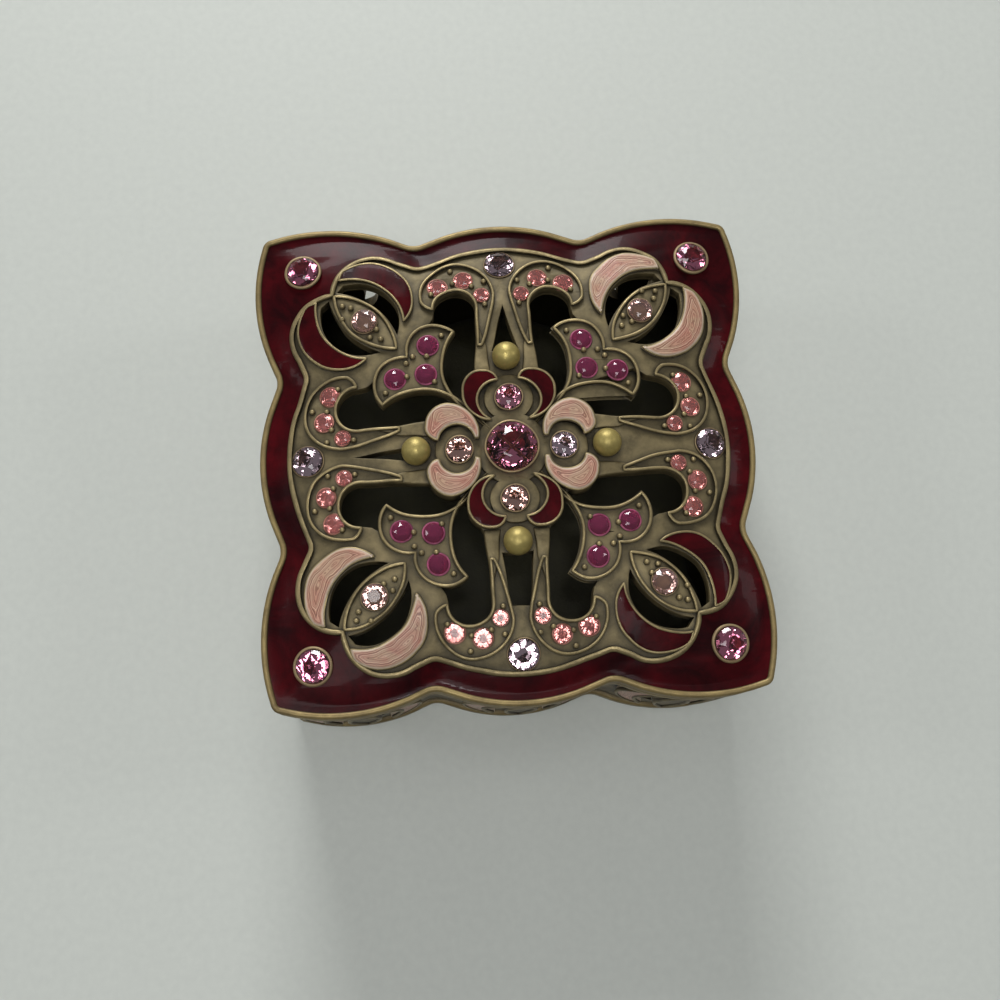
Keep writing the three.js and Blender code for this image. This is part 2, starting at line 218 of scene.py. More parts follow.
# The dome's rise over the flat drawing, as the solids have it
edgeAngles = np.array([math.atan2(y, x) for x, y in lidOutline])
edgeReach = np.array([math.hypot(x, y) for x, y in lidOutline])
edgeOrder = np.argsort(edgeAngles)
edgeAngles, edgeReach = edgeAngles[edgeOrder], edgeReach[edgeOrder]


def domeHeight(x, y):
    reach = np.interp(np.arctan2(y, x), edgeAngles, edgeReach, period=2 * math.pi)
    share = np.hypot(x, y) / reach / lidSizes["seatShare"]
    return lidSizes["domeRise"] * np.maximum(0, 1 - share ** lidSizes["domePower"])


# Making meshes from outlines
def selectOnly(*objects):
    for thing in bpy.context.selected_objects:
        thing.select_set(False)
    for thing in objects:
        thing.select_set(True)
    bpy.context.view_layer.objects.active = objects[0]


def drawn(name, loops, flat):
    data = bpy.data.curves.new(name, "CURVE")
    data.dimensions = "2D" if flat else "3D"
    for loop in loops:
        spline = data.splines.new("POLY")
        spline.points.add(len(loop) - 1)
        for point, place in zip(spline.points, loop):
            point.co = (place[0], place[1], 0, 1)
        spline.use_cyclic_u = True
    piece = bpy.data.objects.new(name, data)
    bpy.context.collection.objects.link(piece)
    return piece


def madeMesh(piece, lift):
    selectOnly(piece)
    bpy.ops.object.convert(target="MESH")
    piece = bpy.context.active_object
    bpy.ops.object.mode_set(mode="EDIT")
    bpy.ops.mesh.select_all(action="SELECT")
    bpy.ops.mesh.remove_doubles(threshold=0.002)
    bpy.ops.mesh.normals_make_consistent(inside=False)
    bpy.ops.transform.translate(value=(0, 0, lift))
    bpy.ops.object.mode_set(mode="OBJECT")
    return piece


def slab(name, loops, bottom, top, edge=0.1):
    piece = drawn(name, loops, True)
    piece.data.fill_mode = "BOTH"
    piece.data.extrude = (top - bottom) / 2 - edge
    piece.data.bevel_depth = edge
    piece.data.bevel_resolution = int(edge > 0.05)
    piece.data.offset = -edge
    return madeMesh(piece, (top + bottom) / 2)


def wires(name, loops, top, radius=0.27, rows=2):
    piece = drawn(name, loops, False)
    piece.data.bevel_depth = radius
    piece.data.bevel_resolution = rows
    return madeMesh(piece, top - radius)


def crossCut(piece, step, axes=(0, 1)):
    # Cuts a flat mesh by a grid, so that it bends smoothly
    work = bmesh.new()
    work.from_mesh(piece.data)
    for axis in axes:
        places = [vert.co[axis] for vert in work.verts]
        normal = Vector((axis == 0, axis == 1, 0))
        for i in range(math.ceil(min(places) / step), math.floor(max(places) / step) + 1):
            bmesh.ops.bisect_plane(
                work, geom=work.verts[:] + work.edges[:] + work.faces[:], dist=1e-4,
                plane_co=normal * (i * step), plane_no=normal)
    work.to_mesh(piece.data)
    work.free()


def joinedAs(name, parts):
    selectOnly(*parts)
    if len(parts) > 1:
        bpy.ops.object.join()
    piece = bpy.context.active_object
    piece.name = name
    piece.data.name = name
    return piece


def coordinates(piece):
    values = np.empty(len(piece.data.vertices) * 3)
    piece.data.vertices.foreach_get("co", values)
    return values.reshape(-1, 3)


def storeCoordinates(piece, places):
    piece.data.vertices.foreach_set("co", (places * millimetre).ravel())
    piece.data.update()


def storeRelief(piece, heights):
    relief = piece.data.attributes.new("relief", "FLOAT", "POINT")
    relief.data.foreach_set("value", heights)


def uneven(x, y, amount=0.04):
    # The small wander of a casting made by hand
    return (amount * np.sin(1.1 * y + 1.4 * np.sin(0.5 * x)),
            amount * np.sin(1.2 * x + 1.3 * np.sin(0.6 * y) + 1),
            amount * np.sin(0.9 * x + 1.1 * np.sin(1.1 * y)) - amount)


def domed(piece):
    places = coordinates(piece)
    storeRelief(piece, places[:, 2].copy())
    places[:, 2] += lidSizes["bottom"] + domeHeight(places[:, 0], places[:, 1])
    shift = uneven(places[:, 0], places[:, 1])
    inner = np.clip(lidSizes["wanderReach"] - np.abs(places[:, :2]).max(1), 0, 1)
    for axis in range(3):
        places[:, axis] += shift[axis] * inner
    storeCoordinates(piece, places)
    return piece


def smoothed(piece, angle=35):
    selectOnly(piece)
    bpy.ops.object.shade_smooth_by_angle(angle=math.radians(angle))
    return piece


# Materials
def linearColour(red, green, blue):
    return (*[((c / 255 + 0.055) / 1.055) ** 2.4 if c > 10 else c / 255 / 12.92
              for c in (red, green, blue)], 1)


def addNode(tree, kind, **values):
    node = tree.nodes.new(kind)
    for key, value in values.items():
        if hasattr(node, key):
            setattr(node, key, value)
        else:
            node.inputs[key.replace("_", " ")].default_value = value
    return node


def mixColours(tree, mask, first, second):
    node = tree.nodes.new("ShaderNodeMix")
    node.data_type = "RGBA"
    sockets = ((node.inputs[0], mask), (node.inputs[6], first), (node.inputs[7], second))
    for socket, value in sockets:
        if isinstance(value, bpy.types.NodeSocket):
            tree.links.new(value, socket)
        else:
            socket.default_value = value
    return node.outputs[2]


def mapped(tree, value, fromMin, fromMax, toMin=0.0, toMax=1.0):
    node = tree.nodes.new("ShaderNodeMapRange")
    for key, number in (("Value", value), ("From Min", fromMin), ("From Max", fromMax),
                        ("To Min", toMin), ("To Max", toMax)):
        if isinstance(number, bpy.types.NodeSocket):
            tree.links.new(number, node.inputs[key])
        else:
            node.inputs[key].default_value = number
    return node.outputs["Result"]


def calculated(tree, operation, *values):
    node = tree.nodes.new("ShaderNodeMath")
    node.operation = operation
    for socket, value in zip(node.inputs, values):
        if isinstance(value, bpy.types.NodeSocket):
            tree.links.new(value, socket)
        else:
            socket.default_value = value
    return node.outputs[0]


def newGroup(name, inputs, outputs):
    group = bpy.data.node_groups.new(name, "ShaderNodeTree")
    for label, kind, value in inputs:
        socket = group.interface.new_socket(name=label, in_out="INPUT", socket_type=kind)
        socket.default_value = value
    for label, kind in outputs:
        group.interface.new_socket(name=label, in_out="OUTPUT", socket_type=kind)
    return group, group.nodes.new("NodeGroupInput"), group.nodes.new("NodeGroupOutput")


patinaLook = {
    "blotches": {"Scale": 300.0, "Detail": 7.0, "Roughness": 0.68},
    "grain": {"Scale": 1500.0, "Detail": 4.0, "Roughness": 0.65},
    "patchRange": (0.36, 0.66),
    "speckRange": (0.35, 0.7),
    "wornInPatches": (0.35, 1.0),
    "wornInSpecks": (0.65, 1.0),
    # painted shade in the hollows, taken from occlusion, together with dark patina there
    "patinaAndShadeFromOcclusion": (0.55, 0.99, 1.0, 0.0),
    "patinaAndShadeInPatches": (0.7, 1.0),
    "paleShare": 0.38,
    "roughness": (0.56, 0.36),
    "metallic": (0.35, 0.75),
    "blotchHeight": 1.6,
    "bump": (0.35, 0.00012),
}


def makePatinaGroup():
    # Dark patina with painted shade in the hollows, where ambient occlusion darkens the colour;
    # khaki patina on the flats and bare brass on what rubs
    group, given, result = newGroup("patina", [
        ("Bright", "NodeSocketColor", linearColour(176, 158, 114)),
        ("Khaki", "NodeSocketColor", linearColour(88, 78, 52)),
        ("Dark", "NodeSocketColor", linearColour(22, 18, 10)),
        ("Worn From", "NodeSocketFloat", 2.0),
        ("Worn To", "NodeSocketFloat", 2.4),
        ("Patina And Shade Reach", "NodeSocketFloat", 0.0009),
    ], [("Color", "NodeSocketColor"), ("Roughness", "NodeSocketFloat"),
        ("Metallic", "NodeSocketFloat"), ("Height", "NodeSocketFloat")])
    place = addNode(group, "ShaderNodeTexCoord").outputs["Object"]
    relief = addNode(group, "ShaderNodeAttribute", attribute_name="relief").outputs["Fac"]
    look = patinaLook
    blotches = addNode(group, "ShaderNodeTexNoise", **look["blotches"])
    grain = addNode(group, "ShaderNodeTexNoise", **look["grain"])
    for texture in (blotches, grain):
        group.links.new(place, texture.inputs["Vector"])
    height = mapped(group, relief, given.outputs["Worn From"], given.outputs["Worn To"])
    patches = mapped(group, blotches.outputs["Fac"], *look["patchRange"])
    specks = mapped(group, grain.outputs["Fac"], *look["speckRange"])
    worn = calculated(group, "MULTIPLY", height,
                      mapped(group, patches, 0, 1, *look["wornInPatches"]))
    worn = calculated(group, "MULTIPLY", worn, mapped(group, specks, 0, 1, *look["wornInSpecks"]))
    # painted shade: ambient occlusion darkens the colour in the hollows and beside the wires,
    # standing also for dark patina there
    shade = addNode(group, "ShaderNodeAmbientOcclusion", samples=6)
    group.links.new(given.outputs["Patina And Shade Reach"], shade.inputs["Distance"])
    hollowPatinaAndShade = mapped(group, shade.outputs["AO"], *look["patinaAndShadeFromOcclusion"])
    hollowPatinaAndShade = calculated(group, "MULTIPLY", hollowPatinaAndShade,
                      mapped(group, patches, 0, 1, *look["patinaAndShadeInPatches"]))
    tone = mixColours(group, calculated(group, "MULTIPLY", patches, look["paleShare"]),
                      given.outputs["Khaki"], given.outputs["Bright"])
    tone = mixColours(group, worn, tone, given.outputs["Bright"])
    tone = mixColours(group, hollowPatinaAndShade, tone, given.outputs["Dark"])
    group.links.new(tone, result.inputs["Color"])
    for name in ("Roughness", "Metallic"):
        group.links.new(mapped(group, worn, 0, 1, *look[name.lower()]), result.inputs[name])
    rough = calculated(group, "ADD", grain.outputs["Fac"],
                       calculated(group, "MULTIPLY", blotches.outputs["Fac"],
                                  look["blotchHeight"]))
    group.links.new(rough, result.inputs["Height"])
    return group


def newMaterial(name, **values):
    material = bpy.data.materials.new(name)
    material.use_nodes = True
    tree = material.node_tree
    shader = tree.nodes["Principled BSDF"]
    for key, value in values.items():
        shader.inputs[key.replace("_", " ")].default_value = value
    return material, tree, shader


def addBump(tree, shader, height, strength, distance):
    bump = addNode(tree, "ShaderNodeBump", Strength=strength, Distance=distance)
    tree.links.new(height, bump.inputs["Height"])
    tree.links.new(bump.outputs["Normal"], shader.inputs["Normal"])


patinaGroup = makePatinaGroup()


def brassMaterial(name, **values):
    material, tree, shader = newMaterial(name)
    patina = tree.nodes.new("ShaderNodeGroup")
    patina.node_tree = patinaGroup
    for key, value in values.items():
        patina.inputs[key.replace("_", " ")].default_value = value
    for socket in ("Roughness", "Metallic"):
        tree.links.new(patina.outputs[socket], shader.inputs[socket])
    tree.links.new(patina.outputs["Color"], shader.inputs["Base Color"])
    addBump(tree, shader, patina.outputs["Height"], *patinaLook["bump"])
    return material


castBrass = brassMaterial("castBrass")
flowerBrass = brassMaterial("flowerBrass", Worn_From=2.75, Worn_To=3.2)
rimBrass = brassMaterial("rimBrass", Khaki=linearColour(104, 88, 56),
                         Bright=linearColour(168, 148, 98), Worn_From=1.6, Worn_To=2.3)
wallBrass = brassMaterial("wallBrass", Khaki=linearColour(70, 60, 42), Worn_From=0.55, Worn_To=0.95)
beadBrass = brassMaterial("beadBrass", Khaki=linearColour(126, 112, 62),
                          Dark=linearColour(52, 46, 22), Bright=linearColour(196, 178, 108),
                          Worn_From=1.5, Worn_To=3.6)
bezelBrass = brassMaterial("bezelBrass", Khaki=linearColour(132, 112, 82),
                           Dark=linearColour(60, 44, 28), Bright=linearColour(190, 168, 126),
                           Worn_From=1.8, Worn_To=3.6)
insideBrass = brassMaterial("insideBrass", Bright=linearColour(58, 54, 20),
                            Khaki=linearColour(36, 33, 12), Dark=linearColour(12, 11, 5),
                            Worn_From=5.0, Worn_To=6.0)


burgundyLook = {
    "surface": {"Roughness": 0.3, "Coat_Weight": 0.04, "Coat_Roughness": 0.05,
                "Coat_IOR": 1.5, "Specular_IOR_Level": 0.05},
    "clouds": {"Scale": 130.0, "Detail": 6.0, "Roughness": 0.6, "Distortion": 0.8},
    "streaks": {"Scale": 700.0, "Detail": 4.0, "Roughness": 0.6},
    "cloudRange": (0.38, 0.7),
    "streakRange": (0.5, 0.8, 0, 0.6),
    "bump": (0.15, 0.0003),
}


def burgundyMaterial():
    look = burgundyLook
    material, tree, shader = newMaterial("burgundyEnamel", **look["surface"])
    place = addNode(tree, "ShaderNodeTexCoord").outputs["Object"]
    clouds = addNode(tree, "ShaderNodeTexNoise", **look["clouds"])
    streaks = addNode(tree, "ShaderNodeTexNoise", **look["streaks"])
    for texture in (clouds, streaks):
        tree.links.new(place, texture.inputs["Vector"])
    depth = mapped(tree, clouds.outputs["Fac"], *look["cloudRange"])
    colour = mixColours(tree, depth, linearColour(36, 8, 11), linearColour(76, 12, 18))
    colour = mixColours(tree, mapped(tree, streaks.outputs["Fac"], *look["streakRange"]), colour,
                        linearColour(26, 8, 9))
    tree.links.new(colour, shader.inputs["Base Color"])
    addBump(tree, shader, clouds.outputs["Fac"], *look["bump"])
    return material


creamLook = {
    "surface": {"Roughness": 0.42, "Coat_Weight": 0.1, "Coat_Roughness": 0.15,
                "Coat_IOR": 1.5},
    "drift": {"Scale": 210.0, "Detail": 3.0},
    "driftShare": 1.9,
    "stroke": {"Scale": 4.5, "Detail": 4.0, "Roughness": 0.7},
    "blush": {"Scale": 320.0, "Detail": 3.0, "Roughness": 0.5, "Distortion": 1.0},
    "blushRange": (0.38, 0.62),
    "darkStroke": (0.49, 0.58, 0, 0.85),
    "paleStroke": (0.46, 0.34, 0, 0.7),
    "rimRange": (0.42, 0.2),
    "bump": (0.4, 0.0002),
}


def creamMaterial():
    # Brush strokes follow the edge of the cell, and a paler rim runs round it
    look = creamLook
    material, tree, shader = newMaterial("creamEnamel", **look["surface"])
    place = addNode(tree, "ShaderNodeTexCoord").outputs["Object"]
    edge = addNode(tree, "ShaderNodeAttribute", attribute_name="edge").outputs["Fac"]
    drift = addNode(tree, "ShaderNodeTexNoise", **look["drift"])
    tree.links.new(place, drift.inputs["Vector"])
    bands = calculated(tree, "MULTIPLY_ADD", drift.outputs["Fac"], look["driftShare"], edge)
    stroke = addNode(tree, "ShaderNodeTexNoise", **look["stroke"])
    stroke.noise_dimensions = "1D"
    tree.links.new(bands, stroke.inputs["W"])
    blush = addNode(tree, "ShaderNodeTexNoise", **look["blush"])
    tree.links.new(place, blush.inputs["Vector"])
    colour = mixColours(tree, mapped(tree, blush.outputs["Fac"], *look["blushRange"]),
                        linearColour(184, 150, 122), linearColour(182, 124, 104))
    colour = mixColours(tree, mapped(tree, stroke.outputs["Fac"], *look["darkStroke"]), colour,
                        linearColour(118, 76, 60))
    colour = mixColours(tree, mapped(tree, stroke.outputs["Fac"], *look["paleStroke"]), colour,
                        linearColour(222, 196, 172))
    colour = mixColours(tree, mapped(tree, edge, *look["rimRange"]), colour,
                        linearColour(196, 178, 156))
    tree.links.new(colour, shader.inputs["Base Color"])
    addBump(tree, shader, stroke.outputs["Fac"], *look["bump"])
    return material


def glassMaterial(name, colour, roughness, clear):
    return newMaterial(name, Roughness=roughness, IOR=1.55, Transmission_Weight=clear,
                       Base_Color=colour)[0]


foilLook = {
    "metal": 0.25,
    "smooth": 0.12,
    "hazy": 0.25,
    "haze": {"Scale": 1600.0, "Detail": 2.0},
    "hazeRange": (0.3, 0.7),
    # painted facet light: the range and dimming that make some facets darker than others
    "facetRange": (0.2, 0.65),
    "dimFacet": 0.6,
    "paleFacet": 0.8,
}


def foilMaterial(name, colour, roughness):
    # The mirror behind a stone: each facet's foil is painted lighter or darker, a painted highlight
    # and shade standing for its own share of the light
    material, tree, shader = newMaterial(name, Metallic=foilLook["metal"])
    place = addNode(tree, "ShaderNodeTexCoord").outputs["Object"]
    facetLight = addNode(tree, "ShaderNodeAttribute", attribute_name="facetLight").outputs["Fac"]
    haze = addNode(tree, "ShaderNodeTexNoise", **foilLook["haze"])
    tree.links.new(place, haze.inputs["Vector"])
    cloud = mapped(tree, haze.outputs["Fac"], *foilLook["hazeRange"])
    smooth, hazy = roughness + foilLook["smooth"], roughness + foilLook["hazy"]
    tree.links.new(mapped(tree, cloud, 0, 1, smooth, hazy), shader.inputs["Roughness"])
    pale, dim = (tuple(c * foilLook[key] for c in colour[:3]) + (1,)
                 for key in ("paleFacet", "dimFacet"))
    shine = mixColours(tree, cloud, colour, pale)
    # painted facet light: each facet gets the dim or the full foil colour
    tree.links.new(mixColours(tree, mapped(tree, facetLight, *foilLook["facetRange"]), dim, shine),
                   shader.inputs["Base Color"])
    return material


waxLook = {
    "surface": {"Roughness": 0.4, "Specular_IOR_Level": 0.3},
    "smear": {"Scale": 700.0, "Detail": 4.0},
    "smearRange": (0.35, 0.65),
    "bump": (0.4, 0.0002),
}


def waxMaterial(name, colour, dark):
    material, tree, shader = newMaterial(name, **waxLook["surface"])
    place = addNode(tree, "ShaderNodeTexCoord").outputs["Object"]
    smear = addNode(tree, "ShaderNodeTexNoise", **waxLook["smear"])
    tree.links.new(place, smear.inputs["Vector"])
    mask = mapped(tree, smear.outputs["Fac"], *waxLook["smearRange"])
    tree.links.new(mixColours(tree, mask, dark, colour), shader.inputs["Base Color"])
    addBump(tree, shader, smear.outputs["Fac"], *waxLook["bump"])
    return material


burgundy = burgundyMaterial()
cream = creamMaterial()
# Each stone: tint of the glass, colour of its foil, roughness and clearness
stoneColours = {
    "rose": (linearColour(255, 152, 186), linearColour(255, 244, 246), 0.0, 1.0),
    "mauve": (linearColour(255, 172, 196), linearColour(255, 240, 246), 0.0, 1.0),
    "peach": (linearColour(255, 200, 188), linearColour(255, 240, 234), 0.0, 1.0),
    "lavender": (linearColour(246, 216, 230), linearColour(255, 246, 250), 0.0, 1.0),
    "dusty": (linearColour(228, 186, 178), linearColour(252, 240, 238), 0.03, 0.9),
    "shell": (linearColour(250, 168, 162), linearColour(255, 226, 218), 0.05, 0.85),
    "fuchsia": (linearColour(244, 100, 160), linearColour(255, 205, 228), 0.04, 0.88),
}
stoneMaterials = {
    name: (glassMaterial(name + "Glass", tint, rough, clear),
           foilMaterial(name + "Foil", foil, rough + 0.03))
    for name, (tint, foil, rough, clear) in stoneColours.items()
}
shellWax = waxMaterial("shellWax", linearColour(190, 132, 116), linearColour(128, 84, 66))
fuchsiaWax = waxMaterial("fuchsiaWax", linearColour(176, 92, 122), linearColour(116, 52, 78))
print("materials ready")


# Cut stone of radius 1, its girdle at z = 0. A ring is corners, radius, height and turn
stoneCut = {
    "rings": [(8, 0.5, 0.35, 22.5), (8, 0.82, 0.21, 0), (16, 1.0, 0.03, 11.25),
              (16, 1.0, -0.03, 11.25), (8, 0.6, -0.4, 22.5)],
    "point": -0.84,
    "facetSeed": 11,
    "sector": 45,
}


def modelStone():
    bpy.ops.object.select_all(action="DESELECT")
    parts = []
    for corners, radius, height, angle in stoneCut["rings"]:
        bpy.ops.mesh.primitive_circle_add(vertices=corners, radius=radius, location=(0, 0, height),
                                          rotation=(0, 0, math.radians(angle)))
        parts.append(bpy.context.active_object)
    bpy.ops.mesh.primitive_circle_add(vertices=3, radius=0.01, location=(0, 0, stoneCut["point"]))
    parts.append(bpy.context.active_object)
    selectOnly(*parts)
    bpy.ops.object.transform_apply(location=True, rotation=True, scale=True)
    stone = joinedAs("stonePattern", parts)
    bpy.ops.object.mode_set(mode="EDIT")
    bpy.ops.mesh.select_all(action="SELECT")
    bpy.ops.mesh.convex_hull()
    bpy.ops.mesh.select_all(action="SELECT")
    bpy.ops.mesh.normals_make_consistent(inside=False)
    bpy.ops.object.mode_set(mode="OBJECT")
    stone.data.materials.append(None)
    stone.data.materials.append(None)
    for face in stone.data.polygons:
        face.material_index = 1 if face.normal.z < -0.1 else 0
    # painted facet light: alternate sectors and a random share make each facet's foil lighter or
    # darker
    random.seed(stoneCut["facetSeed"])
    facetLight = stone.data.attributes.new("facetLight", "FLOAT", "FACE")
    for value, face in zip(facetLight.data, stone.data.polygons):
        turn = math.atan2(face.center.y, face.center.x)
        sector = math.floor(turn / math.radians(stoneCut["sector"])) % 2
        value.value = 0.55 * sector + 0.45 * random.random()
    return stone


def modelRing():
    bpy.ops.mesh.primitive_torus_add(major_segments=20, minor_segments=6, major_radius=1.0,
                                     minor_radius=0.11)
    return bpy.context.active_object


def modelBead():
    bpy.ops.mesh.primitive_ico_sphere_add(subdivisions=2, radius=1)
    return bpy.context.active_object


def tiltAt(x, y):
    # A frame whose z stands square to the dome at a place of the lid
    step = 0.4
    slopeX = (domeHeight(x + step, y) - domeHeight(x - step, y)) / (2 * step)
    slopeY = (domeHeight(x, y + step) - domeHeight(x, y - step)) / (2 * step)
    up = Vector((-slopeX, -slopeY, 1)).normalized()
    side = Vector((1, 0, slopeX)).normalized()
    return Matrix((side, up.cross(side), up)).transposed().to_4x4()


def copyOf(pattern, name, x, y, level, scale, angle=0.0, relief=None):
    piece = bpy.data.objects.new(name, pattern.data.copy())
    bpy.context.collection.objects.link(piece)
    size = scale if isinstance(scale, tuple) else (scale,) * 3
    height = lidSizes["bottom"] + float(domeHeight(x, y)) + level
    place = (Matrix.Translation((x, y, height)) @ tiltAt(x, y) @ Matrix.Rotation(angle, 4, "Z")
             @ Matrix.Diagonal((*size, 1)))
    piece.data.transform(place)
    if relief is not None:
        heights = coordinates(piece)[:, 2] - height + relief
        storeRelief(piece, heights)
    piece.data.transform(Matrix.Scale(millimetre, 4))
    return piece


def setFinish(piece, *materials):
    piece.data.materials.clear()
    for material in materials:
        piece.data.materials.append(material)


def finishPiece(piece, slot, *nodes):
    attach(piece, "root")
    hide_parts(*nodes)


stonePattern = modelStone()
ringPattern = modelRing()
beadPattern = modelBead()
print("patterns modelled")

# Stones of the lid: diameter and level of the girdle, then their places
stonePlan = {
    "centre": (5.9, 3.25),
    "ring": (3.05, 2.85),
    "corner": (3.8, 2.3),
    "edge": (3.6, 2.05),
    "leaf": (3.0, 2.52),
    "commas": [((2.45, 19.9), 2.0), ((4.6, 22.1), 2.4), ((7.8, 21.3), 2.5)],
    "commaLevel": 2.06,
    "fishtails": [(9.7, 9.7), (9.3, 13.4), (13.4, 9.3)],
    "fishtailSize": 2.6,
    "ringPlace": (0, 6.2),
    "edgePlace": (0, 24.2),
    "leafPlace": (16.8, 16.8),
    "cornerPlace": (24.2, 24.2),
    "seed": 5,
    "gap": 0.1,
}
ringKinds = ["mauve", "peach", "peach", "lavender"]
smallPlaces = []
for (x, y), size in stonePlan["commas"]:
    for flip in (1, -1):
        smallPlaces += [(place[0], "shell", size) for place in copies([(flip * x, y)])]
for x, y in stonePlan["fishtails"]:
    smallPlaces += [(place[0], "fuchsia", stonePlan["fishtailSize"]) for place in copies([(x, y)])]
largePlaces = [("centre", (0, 0), "rose", *stonePlan["centre"])]
for i, side in enumerate(sideNames):
    ringPlace, edgePlace = turned([stonePlan["ringPlace"], stonePlan["edgePlace"]], i)
    largePlaces.append((f"ring_{side}", ringPlace, ringKinds[i], *stonePlan["ring"]))
    largePlaces.append((f"edge_{side}", edgePlace, "lavender", *stonePlan["edge"]))
for i, corner in enumerate(cornerNames):
    leafPlace = turned([stonePlan["leafPlace"]], i)[0]
    cornerPlace = turned([stonePlan["cornerPlace"]], i)[0]
    largePlaces.append((f"leaf_{corner}", leafPlace, "dusty", *stonePlan["leaf"]))
    largePlaces.append((f"corner_{corner}", cornerPlace, "rose", *stonePlan["corner"]))


def addStones():
    random.seed(stonePlan["seed"])
    for label, (x, y), kind, size, level in largePlaces:
        stone = copyOf(stonePattern, f"stone_{label}", x, y, level, size / 2, random.random() * 3)
        setFinish(stone, *stoneMaterials[kind])
        finishPiece(stone, "rose_crystal" if kind == "rose" else "pale_crystal", f"crystal_{label}")
    for i, ((x, y), kind, size) in enumerate(smallPlaces):
        stone = copyOf(stonePattern, f"stone_small_{i + 1}", x, y, stonePlan["commaLevel"],
                       size / 2 - stonePlan["gap"], random.random() * 3)
        setFinish(stone, *stoneMaterials[kind])
        finishPiece(stone, "rose_crystal" if kind == "fuchsia" else "pale_crystal", "lid")


addStones()
print("stones set")

# Outlines that the lid uses more than once
petals = [onDiagonal(tulipPetal), acrossDiagonal(onDiagonal(tulipPetal))]
petalVoids = [onDiagonal(tulipVoid), acrossDiagonal(onDiagonal(tulipVoid))]
leaf = onDiagonal(tulipLeaf)
commas = copies(comma) + copies(mirrored(comma))
voids = copies(commaVoid) + copies(mirrored(commaVoid)) + armVoids
voids += [copy for void in petalVoids for copy in copies(void)]
crescents = []
for i in range(4):
    crescent = creamCrescent if i % 2 else burgundyCrescent
    crescents += [turned(crescent, i), turned(mirrored(crescent), i)]


def stoneHoles(names):
    return [circle(x, y, size / 2 - 0.05) for label, (x, y), _, size, _ in largePlaces
            if label.split("_")[0] in names]


def lipLoop(reach):
    corner = reach - lidSizes["lipChamfer"]
    return [point for i in range(4) for point in turned([(corner, reach), (-corner, reach)], i)]


def storeEdge(piece, outline):
    # How far each vertex lies from the outline of its cell, for the strokes of the cream enamel
    starts = np.array(outline)
    spans = np.roll(starts, -1, 0) - starts
    toPlace = coordinates(piece)[:, None, :2] - starts[None]
    share = np.clip((toPlace * spans).sum(2) / (spans ** 2).sum(1), 0, 1)
    reach = np.linalg.norm(toPlace - share[:, :, None] * spans, axis=2).min(1)
    piece.data.attributes.new("edge", "FLOAT", "POINT").data.foreach_set("value", reach)


def addLidPlates():
    floorTop = lidSizes["borderFloor"]
    top = lidSizes["plateTop"]
    holesInField = stoneHoles(["ring", "edge", "centre"])
    holesInField += [circle(x, y, size / 2 - 0.12) for (x, y), kind, size in smallPlaces
                     if kind == "shell"]
    reach = lidSizes["lipReach"]
    lipBottom = -lidSizes["lipDepth"] - float(domeHeight(reach - lidSizes["lipChamfer"], reach))
    bottom, edge, fine = lidSizes["upperBottom"], lidSizes["plateEdge"], lidSizes["fineEdge"]
    lipLoops = [trace([(x, y, 0) for x, y in lipLoop(reach - inwards)], 1.0)
                for inwards in (0, lidSizes["lipThickness"])]
    parts = [
        slab("lower", [inset(lidOutline, 0.35), *voids], 0.0, lidSizes["skinTop"], fine),
        slab("border", [inset(lidOutline, 0.4), inset(fieldOutline, 0.3), *stoneHoles(["corner"])],
             bottom, floorTop, fine),
        slab("upper", [fieldOutline, *voids, *holesInField], bottom, top, edge),
        slab("lip", lipLoops, lipBottom, 0.2, 0.15),
    ]
    for i in range(4):
        holes = [circle(x, y, lidSizes["tailHole"]) for x, y in turned(stonePlan["fishtails"], i)]
        parts.append(slab("tail", [turned(fishtail, i), *holes], 0.5, top + 0.02, edge))
        parts.append(slab("tailBack", [inset(turned(fishtail, i), 0.1)], 0.0, 0.6, 0.05))
    for part in parts:
        crossCut(part, lidSizes["plateCut"])
    plates = domed(joinedAs("lidPlates", parts))
    smoothed(plates)
    setFinish(plates, castBrass)
    finishPiece(plates, "antique_brass", "lid")
    rim = slab("lidRim", [lidOutline, rimInside], 0.0, lidSizes["rimTop"], lidSizes["rimEdge"])
    domed(rim)
    smoothed(rim, 50)
    setFinish(rim, rimBrass)
    finishPiece(rim, "antique_brass", "lid")


addLidPlates()
print("lid plates made")


# Radii of the wires, and bottoms and tops of what lies between them
wirePlan = {
    "field": 0.34,
    "motif": 0.21,
    "petal": 0.17,
    "crescent": 0.17,
    "overhang": 0.03,
    "cellFloor": (0.1, 1.7),
    "leafBed": (0.9, 2.1),
    "leafHole": 1.4,
    "barBottom": 0.6,
    "barDrop": 0.3,
}


def wiresAlong(name, outlines, top, radius):
    loops = [inset(points, radius - wirePlan["overhang"]) for points in outlines]
    return wires(name, loops, top, radius)


